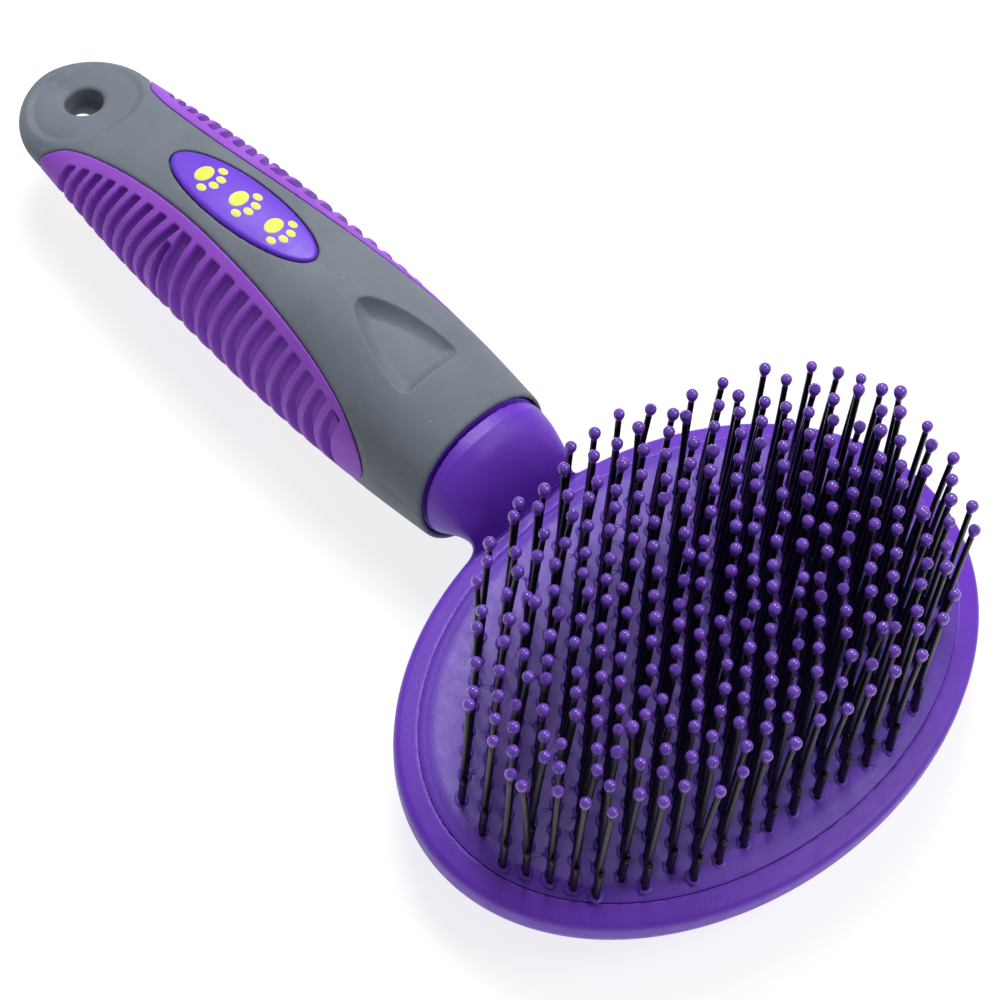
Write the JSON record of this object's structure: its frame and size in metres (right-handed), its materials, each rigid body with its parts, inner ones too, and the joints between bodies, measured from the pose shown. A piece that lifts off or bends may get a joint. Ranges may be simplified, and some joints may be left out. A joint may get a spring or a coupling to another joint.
{
  "type": "pin brush",
  "caption": "Oval brush head with a bed of bead-tipped flexible pins, set across a contoured two-tone soft grip with side inserts and a hang hole.",
  "frame": {"origin": "middle of the bounding box at its bottom, on the surface that the head's back lies on", "axes": "+X along the handle from its end to the head, +Z the way the pins point"},
  "size_m": [0.1893, 0.105, 0.043],
  "materials": {
    "hard_plastic": "satin moulded polypropylene, purple",
    "soft_grip": "matte over-moulded elastomer, grey",
    "insert": "matte ribbed elastomer, light purple",
    "filament": "black nylon filament, slight sheen",
    "tip_coat": "glossy dipped resin bead, purple",
    "anchor_steel": "plain flat wire"
  },
  "bodies": {
    "root": {"frame": "hard_plastic", "bristle_pad": "hard_plastic", "grip": "soft_grip", "side_insert_left": "insert", "side_insert_right": "insert", "badge_plate": "hard_plastic", "pin_anchors": "anchor_steel", "bristle_row_01": "filament", "bristle_row_02": "filament", "bristle_row_03": "filament", "bristle_row_04": "filament", "bristle_row_05": "filament", "bristle_row_06": "filament", "bristle_row_07": "filament", "bristle_row_08": "filament", "bristle_row_09": "filament", "bristle_row_10": "filament", "bristle_row_11": "filament", "bristle_row_12": "filament", "bristle_row_13": "filament", "bristle_row_14": "filament", "bristle_row_15": "filament", "bristle_row_16": "filament", "bristle_row_17": "filament", "bristle_row_18": "filament", "bristle_row_19": "filament", "bristle_row_20": "filament", "tip_row_01": "tip_coat", "tip_row_02": "tip_coat", "tip_row_03": "tip_coat", "tip_row_04": "tip_coat", "tip_row_05": "tip_coat", "tip_row_06": "tip_coat", "tip_row_07": "tip_coat", "tip_row_08": "tip_coat", "tip_row_09": "tip_coat", "tip_row_10": "tip_coat", "tip_row_11": "tip_coat", "tip_row_12": "tip_coat", "tip_row_13": "tip_coat", "tip_row_14": "tip_coat", "tip_row_15": "tip_coat", "tip_row_16": "tip_coat", "tip_row_17": "tip_coat", "tip_row_18": "tip_coat", "tip_row_19": "tip_coat", "tip_row_20": "tip_coat"}
  },
  "joints": []
}
